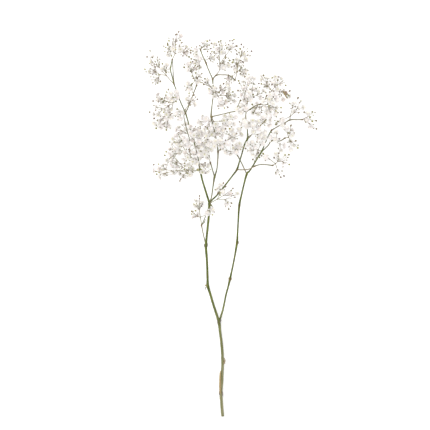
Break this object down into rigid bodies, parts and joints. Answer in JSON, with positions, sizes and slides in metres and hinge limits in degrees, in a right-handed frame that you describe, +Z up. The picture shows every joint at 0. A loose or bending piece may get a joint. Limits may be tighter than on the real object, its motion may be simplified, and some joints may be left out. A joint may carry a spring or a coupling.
{
  "type": "gypsophila stem",
  "caption": "Cut gypsophila stem lying on a table: a forking green stem with airy sprays of small white double blooms and buds.",
  "frame": {"origin": "centre of the outline seen from above, at the height of the table the stem lies on", "axes": "+Y along the stem from the cut end towards the crown, +X to the side of the right limb, +Z up from the table"},
  "size_m": [0.2709, 0.6016, 0.0976],
  "materials": {
    "stem_green": "matt",
    "spray_white": "matt"
  },
  "bodies": {
    "root": {"spray_crown_inner": "spray_white", "spray_crown_left": "spray_white", "spray_crown_middle": "spray_white", "spray_crown_right": "spray_white", "spray_crown_tip": "spray_white", "spray_far_left": "spray_white", "spray_far_right": "spray_white", "spray_far_up": "spray_white", "spray_heart": "spray_white", "spray_heart_left": "spray_white", "spray_heart_low": "spray_white", "spray_heart_right": "spray_white", "spray_left": "spray_white", "spray_left_inner": "spray_white", "spray_left_upper": "spray_white", "spray_low_inner": "spray_white", "spray_low_left": "spray_white", "spray_low_lobe": "spray_white", "spray_right_heart": "spray_white", "spray_right_inner": "spray_white", "spray_right_low": "spray_white", "spray_right_near": "spray_white", "spray_right_upper": "spray_white", "spray_small_left": "spray_white", "spray_small_right": "spray_white", "spray_top": "spray_white", "spray_top_far": "spray_white", "spray_top_right": "spray_white", "spray_twig_right": "spray_white", "spray_upper_middle": "spray_white", "stem": "stem_green"}
  },
  "joints": []
}
